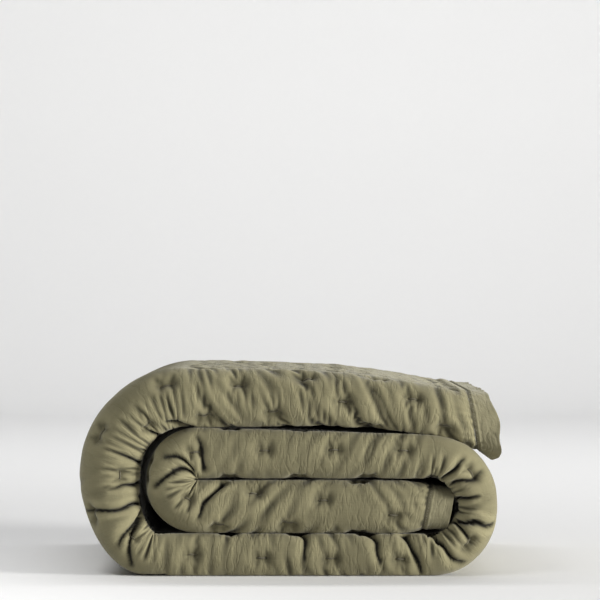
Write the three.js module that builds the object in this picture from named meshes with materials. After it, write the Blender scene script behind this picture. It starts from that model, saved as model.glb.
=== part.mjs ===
// A quilted linen comforter, put away as a flat roll: folded in four along its length, then the
// strip rolled up from one end. It is designed as flat layers, box grids over the cloth, and one
// function, folded(), bends every layer into the roll. Millimetres, +Z up, front fold facing -Y.
import * as THREE from "three";

// The strip: four plies deep, from its front fold to its back fold.
const DEPTH = 570;
const FOLD_REACH = 0.9; // how far a fold bulges, as a share of its radius
const LOWER_EDGE_SETBACK = 12; // the loose long edges stop short of the back fold
const UPPER_EDGE_SETBACK = 30;
const PLIES = 4;

// The cloth and what is in it.
const COVER = 0.8; // linen
const GAP = 0.4; // kept between neighbouring pieces
const HEM_WIDTH = 35;
const HEM_HALF = 1.5; // half the thickness of the flat hem
const SEAM_HALF = 2.2; // half the thickness of the covered filling where it meets a hem
const TAPER = 55; // the filling thins towards a hem over this width

// Threads and label.
const TOPSTITCH = { inset: 3, width: 1.2, height: 0.6 };
const TACK = { length: 11, width: 1.2, height: 0.8, lift: 1 };
const TACK_PITCH = 101.6; // along a row; rows are half of it apart and staggered
const TACK_FIRST = 42; // from the inner seam to the first tack of an even row
const LABEL = { from: -20, width: 42, reach: 24, half: 0.5 };

// The route of the strip's middle through the roll, seen from the front: x right, y up.
const INNER_END = new THREE.Vector2(229, 97);
const INNER_PULLS = [new THREE.Vector2(180, 101.5), new THREE.Vector2(60, 100.7)];
const SLIT_TURN = { x: -134, y: 140.2, radius: 39.5 };
const END_TURN = { x: 207, y: 102.3, across: 68.5, up: 72.3 };
const WIDE_TURN_LOW = { x: -196.5, y: 146, across: 67, down: 116 };
const WIDE_TURN_HIGH = { x: -156.3, y: 146, across: 107.2, up: 114 };
const TOP_BEND = new THREE.Vector2(16, 260);
const DROOP_PULLS = [new THREE.Vector2(120, 262), new THREE.Vector2(215, 250.5)];
const OUTER_END = new THREE.Vector2(303, 222);
const OUTER_LEAN = new THREE.Vector2(-0.17, 0.985); // up the outer hem, which leans back over the roll

// Half the strip's thickness at places along that route.
const HALF = {
  innerEnd: 39,
  innerSeam: 42,
  innerLayer: 38,
  slitStart: 36.5,
  slitEnd: 35,
  middleEnd: 30,
  endTurn: 28.5,
  floor: 30,
  wideTurn: 43,
  top: 41,
  topBend: 39.8,
  droop: 39.5,
  droopTaper: 44,
  outerSeam: 62,
  outerEnd: 73,
};

// Fineness of the facets.
const FRONT_FOLD_STEPS = 8;
const INNER_FOLD_STEPS = 4;
const TAPER_STEPS = 2;

const linen = new THREE.MeshStandardMaterial({ color: 0x8f8a70, roughness: 0.92, metalness: 0 });
const hemLinen = new THREE.MeshStandardMaterial({ color: 0x97927a, roughness: 0.92, metalness: 0 });
const batting = new THREE.MeshStandardMaterial({ color: 0xe9e6dc, roughness: 1, metalness: 0 });
const thread = new THREE.MeshStandardMaterial({ color: 0x6f6a52, roughness: 0.7, metalness: 0 });
const labelTape = new THREE.MeshStandardMaterial({ color: 0xeeeae0, roughness: 0.8, metalness: 0 });

const mix = THREE.MathUtils.lerp;

/** Eases from 0 to 1 as t goes from 0 to 1, and stays there. */
function ease(t) {
  return Math.sin((Math.PI / 2) * THREE.MathUtils.clamp(t, 0, 1));
}

// ---- Along the roll ----

/** Stations on part of a curve: a point, the way out of the roll, and half the strip's thickness. */
function leg(curve, from, to, steps, halfFrom, halfTo) {
  const length = curve.getLength();
  return Array.from({ length: steps + 1 }, (_, i) => {
    const share = i / steps;
    const at = mix(from, to, share) / length;
    const point = curve.getPointAt(at);
    const tangent = curve.getTangentAt(at);
    return { x: point.x, z: point.y, nx: -tangent.y, nz: tangent.x, half: mix(halfFrom, halfTo, share) };
  });
}

function wholeLeg(curve, steps, halfFrom, halfTo) {
  return leg(curve, 0, curve.getLength(), steps, halfFrom, halfTo);
}

function quarters(turn, across, up, from, to) {
  return new THREE.EllipseCurve(turn.x, turn.y, across, up, from * (Math.PI / 2), to * (Math.PI / 2), true);
}

const innerLine = new THREE.CubicBezierCurve(
  INNER_END,
  ...INNER_PULLS,
  new THREE.Vector2(SLIT_TURN.x, SLIT_TURN.y - SLIT_TURN.radius),
);
const slitTurn = quarters(SLIT_TURN, SLIT_TURN.radius, SLIT_TURN.radius, 3, 1);
const middleLine = new THREE.LineCurve(
  new THREE.Vector2(SLIT_TURN.x, SLIT_TURN.y + SLIT_TURN.radius),
  new THREE.Vector2(END_TURN.x, END_TURN.y + END_TURN.up),
);
const endTurnHigh = quarters(END_TURN, END_TURN.across, END_TURN.up, 1, 0);
const endTurnLow = quarters(END_TURN, END_TURN.across, END_TURN.up, 0, -1);
const floorLine = new THREE.LineCurve(
  new THREE.Vector2(END_TURN.x, END_TURN.y - END_TURN.up),
  new THREE.Vector2(WIDE_TURN_LOW.x, WIDE_TURN_LOW.y - WIDE_TURN_LOW.down),
);
const wideTurnLow = quarters(WIDE_TURN_LOW, WIDE_TURN_LOW.across, WIDE_TURN_LOW.down, 3, 2);
const wideTurnHigh = quarters(WIDE_TURN_HIGH, WIDE_TURN_HIGH.across, WIDE_TURN_HIGH.up, 2, 1);
const topLine = new THREE.LineCurve(
  new THREE.Vector2(WIDE_TURN_HIGH.x, WIDE_TURN_HIGH.y + WIDE_TURN_HIGH.up),
  TOP_BEND,
);
const droop = new THREE.CubicBezierCurve(TOP_BEND, ...DROOP_PULLS, OUTER_END);

const innerSeamEnd = HEM_WIDTH + GAP;
const innerTaperEnd = innerSeamEnd + TAPER;
const outerSeamEnd = droop.getLength() - HEM_WIDTH - GAP;
const outerTaperEnd = outerSeamEnd - TAPER;
const outerTaperMiddle = outerSeamEnd - TAPER / 2;

/** Turns a station's way out towards the lean of the outer hem, by a share. */
function leaned(station, share) {
  const out = new THREE.Vector2(station.nx, station.nz).lerp(OUTER_LEAN, share).normalize();
  return { ...station, nx: out.x, nz: out.y };
}

const innerHemRun = leg(innerLine, 0, HEM_WIDTH, 1, HALF.innerEnd, HALF.innerSeam);
const outerHemRun = leg(
  droop,
  outerSeamEnd + GAP,
  droop.getLength(),
  1,
  HALF.outerSeam,
  HALF.outerEnd,
).map((station) => leaned(station, 1));

/** Every station between the two end hems, with its distance from the inner seam and its loft. */
function bodyRun() {
  const legs = [
    leg(innerLine, innerSeamEnd, innerTaperEnd, TAPER_STEPS, HALF.innerSeam, HALF.innerLayer),
    leg(innerLine, innerTaperEnd, innerLine.getLength(), 1, HALF.innerLayer, HALF.slitStart),
    wholeLeg(slitTurn, 7, HALF.slitStart, HALF.slitEnd),
    wholeLeg(middleLine, 1, HALF.slitEnd, HALF.middleEnd),
    wholeLeg(endTurnHigh, 4, HALF.middleEnd, HALF.endTurn),
    wholeLeg(endTurnLow, 4, HALF.endTurn, HALF.floor),
    wholeLeg(floorLine, 1, HALF.floor, HALF.floor),
    wholeLeg(wideTurnLow, 4, HALF.floor, HALF.wideTurn),
    wholeLeg(wideTurnHigh, 5, HALF.wideTurn, HALF.top),
    wholeLeg(topLine, 1, HALF.top, HALF.topBend),
    leg(droop, 0, outerTaperEnd, 3, HALF.topBend, HALF.droop),
    leg(droop, outerTaperEnd, outerTaperMiddle, 1, HALF.droop, HALF.droopTaper),
    leg(droop, outerTaperMiddle, outerSeamEnd, 1, HALF.droopTaper, HALF.outerSeam),
  ];
  const run = legs.flatMap((stations, i) => (i === 0 ? stations : stations.slice(1)));
  let distance = 0;
  run.forEach((station, i) => {
    const before = run[Math.max(i - 1, 0)];
    distance += Math.hypot(station.x - before.x, station.z - before.z);
    station.distance = distance;
  });
  return run.map((station) => {
    const fromOuter = distance - station.distance;
    const loft = ease(Math.min(station.distance, fromOuter) / TAPER);
    return { ...leaned(station, THREE.MathUtils.clamp(1 - fromOuter / TAPER, 0, 1)), loft };
  });
}

const bodyStations = bodyRun();
const bodyLength = bodyStations.at(-1).distance;

/** The station at a distance from the inner seam, on the straight facet between its neighbours. */
function stationAt(distance) {
  const next = bodyStations.findIndex((station) => station.distance > distance);
  const a = bodyStations[next - 1];
  const b = bodyStations[next];
  const share = (distance - a.distance) / (b.distance - a.distance);
  return Object.fromEntries(Object.keys(a).map((key) => [key, mix(a[key], b[key], share)]));
}

// ---- Across the strip, from the lower loose edge round both folds to the upper loose edge ----

const backFold = DEPTH / 2;
const lowerEdge = backFold - LOWER_EDGE_SETBACK;
const upperEdge = backFold - UPPER_EDGE_SETBACK;
const plyShare = 1 / PLIES; // half a ply's thickness, as a share of the strip's half thickness

// A crossing gives, for half a thickness, the middle of the ply there and the way to its face side.
function flatCrossing(y, level, facing, loft) {
  return { loft, at: (half) => ({ y, z: level * half, ny: 0, nz: facing }) };
}

/** On the front fold, at an angle from straight ahead, positive towards the outside of the roll. */
function frontCrossing(angle) {
  return {
    loft: 1,
    at: (half) => {
      const ny = -FOLD_REACH * Math.cos(angle);
      const nz = Math.sin(angle);
      const middle = (1 - plyShare) * half;
      return { y: -DEPTH / 2 + FOLD_REACH * half + middle * ny, z: middle * nz, ny, nz };
    },
  };
}

function backCrossing(angle) {
  return {
    loft: 1,
    at: (half) => {
      const ny = FOLD_REACH * Math.cos(angle);
      const nz = Math.sin(angle);
      const middle = plyShare * half;
      const centre = backFold - 2 * middle * FOLD_REACH;
      return { y: centre + middle * ny, z: 2 * middle + middle * nz, ny, nz };
    },
  };
}

/** On the fold nested inside the front fold, where the face side is the inside of the bend. */
function nestedCrossing(angle) {
  return {
    loft: 1,
    at: (half) => {
      const ny = FOLD_REACH * Math.cos(angle);
      const nz = -Math.sin(angle);
      const middle = plyShare * half;
      return { y: -DEPTH / 2 + FOLD_REACH * half - middle * ny, z: -middle * nz, ny, nz };
    },
  };
}

function bend(crossing, from, to, steps) {
  return Array.from({ length: steps + 1 }, (_, i) => crossing(mix(from, to, i / steps)));
}

/** The crossings from a hem towards the front, over which the filling gains its full thickness. */
function taperedPly(edge, level, facing) {
  const hemLine = edge - HEM_WIDTH - GAP;
  return Array.from({ length: TAPER_STEPS + 1 }, (_, i) => {
    const share = i / TAPER_STEPS;
    return flatCrossing(hemLine - share * TAPER, level, facing, ease(share));
  });
}

const quarter = Math.PI / 2;
const lowerPly = taperedPly(lowerEdge, -3 * plyShare, -1);
const upperPly = taperedPly(upperEdge, -plyShare, 1).reverse();
const folds = [
  ...bend(frontCrossing, -quarter, quarter, FRONT_FOLD_STEPS),
  ...bend(backCrossing, quarter, -quarter, INNER_FOLD_STEPS),
  ...bend(nestedCrossing, quarter, -quarter, INNER_FOLD_STEPS),
];
const lowerHem = [lowerEdge, lowerEdge - HEM_WIDTH].map((y) => flatCrossing(y, -3 * plyShare, -1, 0));
const upperHem = [upperEdge - HEM_WIDTH, upperEdge].map((y) => flatCrossing(y, -plyShare, 1, 0));
const bodyCrossings = [...lowerPly, ...folds, ...upperPly];
const hemCrossings = [...lowerHem, ...folds, ...upperHem];

// ---- Pieces ----

/** A point of the roll: a crossing of the strip at a station, and a distance to the face side. */
function folded(crossing, station, out) {
  const { y, z, ny, nz } = crossing.at(station.half);
  const across = z + out * nz;
  return [station.x + station.nx * across, y + out * ny, station.z + station.nz * across];
}

/** Half the thickness of the covered filling. */
function plyHalf(crossing, station) {
  const full = station.half * plyShare - GAP / 2;
  return mix(SEAM_HALF, full, crossing.loft * station.loft);
}

/** Splits the underside's squares along the same diagonals as the face side's. */
function matchDiagonals(geometry) {
  const UNDERSIDE = 3; // BoxGeometry's order of sides: +x, -x, +y, -y, +z, -z
  const { start, count } = geometry.groups[UNDERSIDE];
  const index = geometry.getIndex();
  for (let i = start; i < start + count; i += 6) {
    const [a, b, d, c] = [0, 1, 2, 4].map((corner) => index.getX(i + corner));
    [a, b, c, a, c, d].forEach((vertex, corner) => index.setX(i + corner, vertex));
  }
}

/** A closed piece over crossings and stations, between two distances from the middle of the ply. */
function piece(name, material, crossings, stations, inner, outer) {
  const across = crossings.length - 1;
  const along = stations.length - 1;
  const geometry = new THREE.BoxGeometry(1, 1, 1, across, 1, along);
  const position = geometry.getAttribute("position");
  for (let i = 0; i < position.count; i += 1) {
    const crossing = crossings[Math.round((position.getX(i) + 0.5) * across)];
    const station = stations[Math.round((position.getZ(i) + 0.5) * along)];
    const out = position.getY(i) > 0 ? outer : inner;
    position.setXYZ(i, ...folded(crossing, station, out(crossing, station)));
  }
  matchDiagonals(geometry);
  geometry.computeVertexNormals();
  const mesh = new THREE.Mesh(geometry, material);
  mesh.name = name;
  return mesh;
}

const cloth = {
  faceOut: (c, s) => plyHalf(c, s),
  faceIn: (c, s) => plyHalf(c, s) - COVER,
  fillOut: (c, s) => plyHalf(c, s) - COVER - GAP,
  fillIn: (c, s) => COVER + GAP - plyHalf(c, s),
  backIn: (c, s) => COVER - plyHalf(c, s),
  backOut: (c, s) => -plyHalf(c, s),
};

function layers() {
  return [
    piece("face_cover", linen, bodyCrossings, bodyStations, cloth.faceIn, cloth.faceOut),
    piece("back_cover", linen, bodyCrossings, bodyStations, cloth.backOut, cloth.backIn),
    piece("filling", batting, bodyCrossings, bodyStations, cloth.fillIn, cloth.fillOut),
  ];
}

const hemBack = () => -HEM_HALF;
const hemFace = () => HEM_HALF;
const stitchIn = () => HEM_HALF + GAP;
const stitchOut = () => HEM_HALF + GAP + TOPSTITCH.height;

/** A flat hem along each side of the comforter. */
function hems() {
  return [
    piece("inner_end_hem", hemLinen, hemCrossings, innerHemRun, hemBack, hemFace),
    piece("outer_end_hem", hemLinen, hemCrossings, outerHemRun, hemBack, hemFace),
    piece("lower_side_hem", hemLinen, lowerHem, bodyStations, hemBack, hemFace),
    piece("upper_side_hem", hemLinen, upperHem, bodyStations, hemBack, hemFace),
  ];
}

/** The thread of a row of topstitching on each hem, beside the seam. */
function topstitches() {
  const near = TOPSTITCH.inset;
  const far = TOPSTITCH.inset + TOPSTITCH.width;
  const innerRow = [HEM_WIDTH - far, HEM_WIDTH - near];
  const outerRow = [outerSeamEnd + GAP + near, outerSeamEnd + GAP + far];
  const pick = (run, row, from, length) =>
    row.map((distance) => {
      const share = (distance - from) / length;
      return Object.fromEntries(Object.keys(run[0]).map((k) => [k, mix(run[0][k], run[1][k], share)]));
    });
  const lowerRow = [-HEM_WIDTH + far, -HEM_WIDTH + near].map((y) =>
    flatCrossing(lowerEdge + y, -3 * plyShare, -1, 0),
  );
  const upperRow = [-HEM_WIDTH + near, -HEM_WIDTH + far].map((y) =>
    flatCrossing(upperEdge + y, -plyShare, 1, 0),
  );
  const innerRun = pick(innerHemRun, innerRow, 0, HEM_WIDTH);
  const outerRun = pick(outerHemRun, outerRow, outerSeamEnd + GAP, HEM_WIDTH);
  return [
    piece("inner_end_topstitch", thread, hemCrossings, innerRun, stitchIn, stitchOut),
    piece("outer_end_topstitch", thread, hemCrossings, outerRun, stitchIn, stitchOut),
    piece("lower_side_topstitch", thread, lowerRow, bodyStations, stitchIn, stitchOut),
    piece("upper_side_topstitch", thread, upperRow, bodyStations, stitchIn, stitchOut),
  ];
}

/** A blank care label, sewn into the upper side hem at the back of the layer on the floor. */
function careLabel() {
  const onFloor = (x) => ({ x, z: HALF.floor, nx: 0, nz: -1, half: HALF.floor });
  const stations = [onFloor(LABEL.from + LABEL.width), onFloor(LABEL.from)];
  const crossings = [upperEdge + GAP, upperEdge + GAP + LABEL.reach].map((y) =>
    flatCrossing(y, -plyShare, 1, 0),
  );
  return piece("care_label", labelTape, crossings, stations, () => -LABEL.half, () => LABEL.half);
}

/** How far the tack rows have drifted from the front of the fold, in millimetres, along the roll. */
const rowDrift = new THREE.SplineCurve([
  new THREE.Vector2(0, 22),
  new THREE.Vector2(220, -30),
  new THREE.Vector2(440, 4),
  new THREE.Vector2(700, 11),
  new THREE.Vector2(1000, 6),
  new THREE.Vector2(1300, 3),
  new THREE.Vector2(1560, -18),
  new THREE.Vector2(1820, -32),
  new THREE.Vector2(2200, 38),
]);

function driftAt(distance) {
  const last = rowDrift.points.length - 1;
  const next = rowDrift.points.findIndex((point) => point.x > distance);
  const a = rowDrift.points[next - 1];
  const b = rowDrift.points[next];
  return rowDrift.getPoint((next - 1 + (distance - a.x) / (b.x - a.x)) / last).y;
}

/** The quilting tacks that show on the front fold: short bars of thread, in staggered rows. */
function tacks() {
  const found = [];
  const rows = [-1, 0, 1];
  for (let column = 0; TACK_FIRST + column * TACK_PITCH < bodyLength - TAPER; column += 1) {
    for (const row of rows) {
      const distance = TACK_FIRST + (column + (row === 0 ? 0 : 0.5)) * TACK_PITCH;
      if (distance > bodyLength - TAPER / 2) continue;
      const middle = stationAt(distance);
      const angle = (driftAt(distance) + (row * TACK_PITCH) / 2) / middle.half;
      if (Math.abs(angle) > 1.1) continue;
      const spread = TACK.width / 2 / middle.half;
      const crossings = [frontCrossing(angle - spread), frontCrossing(angle + spread)];
      const stations = [stationAt(distance - TACK.length / 2), stationAt(distance + TACK.length / 2)];
      const inner = (c, s) => plyHalf(c, s) + TACK.lift;
      const outer = (c, s) => plyHalf(c, s) + TACK.lift + TACK.height;
      const name = `tack_${String(found.length + 1).padStart(2, "0")}`;
      found.push(piece(name, thread, crossings, stations, inner, outer));
    }
  }
  return found;
}

const comforter = new THREE.Group();
comforter.add(...layers(), ...hems(), ...topstitches(), careLabel(), ...tacks());

// The part's origin is under the middle of the roll, on the surface it lies on.
const bounds = new THREE.Box3().setFromObject(comforter);
const middle = bounds.getCenter(new THREE.Vector3());
comforter.position.set(-middle.x, -middle.y, -bounds.min.z);

export default comforter;
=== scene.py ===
import math

import bpy
import numpy as np
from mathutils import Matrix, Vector


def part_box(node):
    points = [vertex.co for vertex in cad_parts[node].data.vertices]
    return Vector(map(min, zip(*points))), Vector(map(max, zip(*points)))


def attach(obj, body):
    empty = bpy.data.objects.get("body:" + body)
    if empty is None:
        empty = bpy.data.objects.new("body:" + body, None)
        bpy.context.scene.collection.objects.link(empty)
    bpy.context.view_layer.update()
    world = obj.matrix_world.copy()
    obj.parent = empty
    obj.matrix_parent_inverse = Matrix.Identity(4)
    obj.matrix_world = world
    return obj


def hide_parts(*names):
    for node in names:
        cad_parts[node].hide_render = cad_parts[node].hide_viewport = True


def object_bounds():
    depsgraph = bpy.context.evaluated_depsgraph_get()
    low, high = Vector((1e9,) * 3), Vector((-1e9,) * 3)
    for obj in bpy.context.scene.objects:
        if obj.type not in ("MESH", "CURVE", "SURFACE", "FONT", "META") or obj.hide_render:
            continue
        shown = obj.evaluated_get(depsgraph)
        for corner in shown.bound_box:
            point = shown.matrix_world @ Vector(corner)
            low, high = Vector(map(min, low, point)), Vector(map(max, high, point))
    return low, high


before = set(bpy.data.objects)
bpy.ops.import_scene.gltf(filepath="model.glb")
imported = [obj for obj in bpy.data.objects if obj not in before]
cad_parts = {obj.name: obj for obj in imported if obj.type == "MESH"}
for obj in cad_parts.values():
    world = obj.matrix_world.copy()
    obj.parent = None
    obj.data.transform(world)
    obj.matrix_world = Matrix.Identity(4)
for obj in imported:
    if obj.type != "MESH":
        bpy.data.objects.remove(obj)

MM = 0.001
PI = math.pi
cad_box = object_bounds()

# ---- driving dimensions
# They follow the CAD model's, with a thinner hem, longer tack threads, and an outer end and some
# thicknesses that differ a little, to look more like the photo.

DEPTH = 570.0
FOLD_REACH = 0.9  # how far a fold bulges, as a share of its radius
FOLD_ARC = 0.951  # the mean radius of such a fold, as a share of half its height
LOWER_EDGE_SETBACK = 12.0
UPPER_EDGE_SETBACK = 30.0
PLY = 0.25  # half the thickness of one ply, as a share of half the strip's
HEM_WIDTH = 35.0
HEM_HALF = 0.9
SEAM_HALF = 2.2
TAPER = 55.0  # the filling thins towards a hem over this width
GAP = 0.4
LABEL_FROM = -20.0
TACK_PITCH = 101.6
TACK_FIRST = 42.0
TACK_LENGTH = 13.0
TACK_ENDS = ((-TACK_LENGTH / 2, 0), (TACK_LENGTH / 2, 0))

# The route of the strip's middle through the roll, seen from the front: x right, y up.
INNER_END = (229.0, 97.0)
INNER_PULLS = ((180.0, 101.5), (60.0, 100.7))
SLIT_TURN = {"x": -134.0, "y": 140.2, "across": 39.5, "up": 39.5}
END_TURN = {"x": 207.0, "y": 102.3, "across": 68.5, "up": 72.3}
WIDE_TURN_LOW = {"x": -196.5, "y": 146.0, "across": 67.0, "up": 116.0}
WIDE_TURN_HIGH = {"x": -156.3, "y": 146.0, "across": 107.2, "up": 114.0}
TOP_BEND = (16.0, 260.0)
DROOP_PULLS = ((120.0, 261.0), (215.0, 247.0))
OUTER_END = (303.0, 222.0)
OUTER_LEAN = (-0.17, 0.985)
INNER_LEAN = (-0.19, -0.98)
LEAN_REACH = 1.4 * TAPER  # the strip turns to a hem's lean over this length

# The inner end is drawn out of the roll, and the outer side of the strip sags towards the other end.
DRAWN_OUT = 9.0
DRAWN_OVER = 110.0
SAG = 0.17
SAG_FROM_END = 400.0
SAG_OVER = 330.0

SHIFT_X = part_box("care_label")[0].x / MM - LABEL_FROM
SHIFT_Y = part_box("face_cover")[1].y / MM - DEPTH / 2


# ---- the route through the roll

def bezier(a, b, c, d, count=400):
    t = np.linspace(0, 1, count)[:, None]
    a, b, c, d = (np.array(p) for p in (a, b, c, d))
    return (1 - t) ** 3 * a + 3 * t * (1 - t) ** 2 * b + 3 * t * t * (1 - t) * c + t ** 3 * d


def arc(turn, start, end, count=300):
    """Part of an ellipse, from one quarter turn to another, counted from +x."""
    angle = np.linspace(start, end, count) * PI / 2
    x = turn["x"] + turn["across"] * np.cos(angle)
    return np.stack([x, turn["y"] + turn["up"] * np.sin(angle)], 1)


def line(a, b, count=200):
    return np.linspace(a, b, count)


def top_of(turn):
    return (turn["x"], turn["y"] + turn["up"])


def foot_of(turn):
    return (turn["x"], turn["y"] - turn["up"])


def smooth(values, reach):
    """A moving average over twice the reach, in samples."""
    window = np.hanning(2 * reach + 3)[1:-1]
    first = 2 * values[0] - values[reach:0:-1]
    last = 2 * values[-1] - values[-2:-reach - 2:-1]
    return np.convolve(np.concatenate([first, values, last]), window / window.sum(), mode="valid")


def ease(t):
    return np.sin(PI / 2 * np.clip(t, 0, 1))


def ramp(t):
    t = np.clip(t, 0, 1)
    return t * t * (3 - 2 * t)


class Route:
    """The middle of the strip, from its inner to its outer end, every millimetre."""

    def __init__(self):
        pieces = [
            bezier(INNER_END, *INNER_PULLS, foot_of(SLIT_TURN)),
            arc(SLIT_TURN, 3, 1),
            line(top_of(SLIT_TURN), top_of(END_TURN)),
            arc(END_TURN, 1, -1),
            line(foot_of(END_TURN), foot_of(WIDE_TURN_LOW)),
            arc(WIDE_TURN_LOW, 3, 2),
            arc(WIDE_TURN_HIGH, 2, 1),
            line(top_of(WIDE_TURN_HIGH), TOP_BEND),
            bezier(TOP_BEND, *DROOP_PULLS, OUTER_END),
        ]
        points = np.concatenate([pieces[0]] + [piece[1:] for piece in pieces[1:]])
        along = np.concatenate([[0.0], np.cumsum(np.linalg.norm(np.diff(points, axis=0), axis=1))])
        joints = along[np.cumsum([len(pieces[0])] + [len(p) - 1 for p in pieces[1:]]) - 1]
        (self.slit, self.middle, self.end_turn, self.floor, self.wide,
         self.wide_middle, self.top, self.bend, self.length) = joints
        self.s = np.linspace(0.0, self.length, int(self.length) + 1)
        self.x = smooth(np.interp(self.s, along, points[:, 0]), 6) + SHIFT_X
        self.h = smooth(np.interp(self.s, along, points[:, 1]), 6)
        dx, dh = np.gradient(self.x, self.s), np.gradient(self.h, self.s)
        heading = smooth(np.unwrap(np.arctan2(dh, dx)), 10)
        self.curve = smooth(-np.gradient(heading, self.s), 10)
        lean = ramp((self.s - self.length + HEM_WIDTH + LEAN_REACH) / LEAN_REACH)
        slant = ramp((HEM_WIDTH + LEAN_REACH - self.s) / LEAN_REACH)
        self.nx = -np.sin(heading) * (1 - lean - slant) + OUTER_LEAN[0] * lean + INNER_LEAN[0] * slant
        self.nh = np.cos(heading) * (1 - lean - slant) + OUTER_LEAN[1] * lean + INNER_LEAN[1] * slant
        self.half = smooth(np.interp(self.s, *zip(*self.halves())), 8)

    def halves(self):
        """Places along the strip, with half its thickness at each."""
        outer_seam = self.length - HEM_WIDTH
        return [
            (0, 39), (HEM_WIDTH, 42), (HEM_WIDTH + TAPER, 38.5), (self.slit, 38), (self.middle, 36.5),
            (self.end_turn, 31.5), ((self.end_turn + self.floor) / 2, 29.5), (self.floor, 30.5),
            (self.wide, 31), (self.wide_middle, 43.5), (self.top, 42), (self.bend, 40),
            (outer_seam - TAPER, 38), (outer_seam - TAPER / 2, 43), (outer_seam, 62), (self.length, 73),
        ]

    def half_at(self, s):
        return np.interp(s, self.s, self.half)

    def place(self, s, section, out=0.0):
        """Points of the roll for a section across the strip, moved out to the cloth's face side."""
        y, z, ny, nz = section
        x0, h0, nx, nh = (np.interp(s, self.s, v) for v in (self.x, self.h, self.nx, self.nh))
        across = z + out * nz
        sag = SAG * ramp((s - self.length + SAG_FROM_END) / SAG_OVER)
        x0 = x0 + DRAWN_OUT * ramp(1 - s / DRAWN_OVER)
        across = across - sag * np.maximum(across, 0)
        return np.stack([x0 + nx * across, y + out * ny + SHIFT_Y, h0 + nh * across], -1)

    def facing(self, s, section):
        """The way out of the cloth's face side."""
        _, _, ny, nz = section
        nx, nh = (np.interp(s, self.s, v) for v in (self.nx, self.nh))
        way = np.stack([nx * nz, ny + 0 * nz, nh * nz], -1)
        return way / np.linalg.norm(way, axis=-1, keepdims=True)


route = Route()
INNER_SEAM = HEM_WIDTH + GAP
OUTER_SEAM = route.length - HEM_WIDTH - GAP


# ---- sections across the strip
# A section gives, for a row of the cloth and every half thickness, the middle of the ply: how far
# back it lies (y), how far out from the middle of the strip (z), and the way to the face side.

FRONT_REACH = 126.0
LOWER_EDGE = DEPTH / 2 - LOWER_EDGE_SETBACK
UPPER_EDGE = DEPTH / 2 - UPPER_EDGE_SETBACK


def front_rows(a, half):
    """Rows round the front fold and past it, a along the cloth from its foremost line."""
    reach = FOLD_ARC * half
    angle = np.clip(a[:, None] / reach, -PI / 2, PI / 2)
    past = np.maximum(np.abs(a)[:, None] - reach * PI / 2, 0)
    ny, nz = -FOLD_REACH * np.cos(angle), np.sin(angle)
    middle = (1 - PLY) * half
    return -DEPTH / 2 + FOLD_REACH * half + middle * ny + past, middle * nz, ny, nz


def flat_rows(y, level, facing, half):
    y = y + 0 * half
    return y, level * half + 0 * y, 0 * y, facing + 0 * y


def back_rows(angle, half):
    angle = angle[:, None]
    ny, nz = FOLD_REACH * np.cos(angle), np.sin(angle) + 0 * half
    middle = PLY * half
    return DEPTH / 2 - 2 * middle * FOLD_REACH + middle * ny, 2 * middle + middle * nz, ny + 0 * half, nz


def nested_rows(angle, half):
    angle = angle[:, None]
    ny, nz = FOLD_REACH * np.cos(angle), -np.sin(angle) + 0 * half
    middle = PLY * half
    y = -DEPTH / 2 + FOLD_REACH * half - middle * ny
    return y, -middle * nz, ny + 0 * half, nz


def joined(*sections):
    return tuple(np.concatenate(parts) for parts in zip(*sections))


def shares(count, first=True, last=True):
    """Even steps from 0 to 1, as a column, with or without the ends."""
    t = np.linspace(0, 1, count + 1)
    return t[None if first else 1:None if last else -1][:, None]


def loft(s):
    """How much of its full thickness the filling has: it thins towards the end hems."""
    return ease(np.minimum(s - INNER_SEAM, OUTER_SEAM - s) / TAPER)


def ply_half(s, side=1.0):
    full = route.half_at(s) * PLY - GAP / 2
    return SEAM_HALF + (full - SEAM_HALF) * loft(s) * side


def lower_ply(half, hem_line, count, last=False):
    """The innermost ply, from its hem to where the rows of the front fold start."""
    start = front_rows(np.array([-FRONT_REACH]), half)[0]
    y = hem_line + (start - hem_line) * shares(count, last=last)
    return flat_rows(y, -3 * PLY, -1.0, half), ease((hem_line - y) / TAPER)


def outer_ply(half, count):
    """The outermost ply, from the end of the front rows to the back fold, and round that."""
    start = front_rows(np.array([FRONT_REACH]), half)[0]
    end = DEPTH / 2 - 2 * PLY * half * FOLD_REACH
    flat = flat_rows(start + (end - start) * shares(count, first=False), 3 * PLY, 1.0, half)
    turns = np.linspace(PI / 2, -PI / 2, 15)[1:]
    return joined(flat, back_rows(turns, half))


def tucked_plies(half, hem_line, count):
    """The two plies tucked inside, from the back fold to the upper hem."""
    back = DEPTH / 2 - 2 * PLY * half * FOLD_REACH
    front = -DEPTH / 2 + FOLD_REACH * half
    third = flat_rows(back + (front - back) * shares(count, first=False), PLY, -1.0, half)
    nested = nested_rows(np.linspace(PI / 2, -PI / 2, 5)[1:], half)
    y = front + (hem_line - front) * shares(count, first=False)
    second = flat_rows(y, -PLY, 1.0, half)
    side = np.ones((count + 4, half.size))
    return joined(third, nested, second), np.concatenate([side, ease((hem_line - y) / TAPER)])


# ---- grids of the face fabric
# A coarse grid covers all that shows. The front fold has a fine one too, twice as close.

COARSE = 4.4
FINE_ROWS = 117
OUTER_ROWS = 88
TUCKED_ROWS = 12
UNDER_ROWS = 16
UNDER_DEPTH = 400.0  # about how far the innermost ply reaches behind the front fold
BACK_TURN_ROWS = 15

columns = np.linspace(INNER_SEAM, OUTER_SEAM, int((OUTER_SEAM - INNER_SEAM) / COARSE) + 1)
fine_columns = np.linspace(INNER_SEAM, OUTER_SEAM, 2 * columns.size - 1)
fine_rows = np.linspace(-FRONT_REACH, FRONT_REACH, FINE_ROWS)
front_count = FINE_ROWS // 2 + 1
half = route.half_at(columns)


def flat_places(s, u):
    return np.stack(np.broadcast_arrays(s[None, :], u[:, None]), -1)


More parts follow.
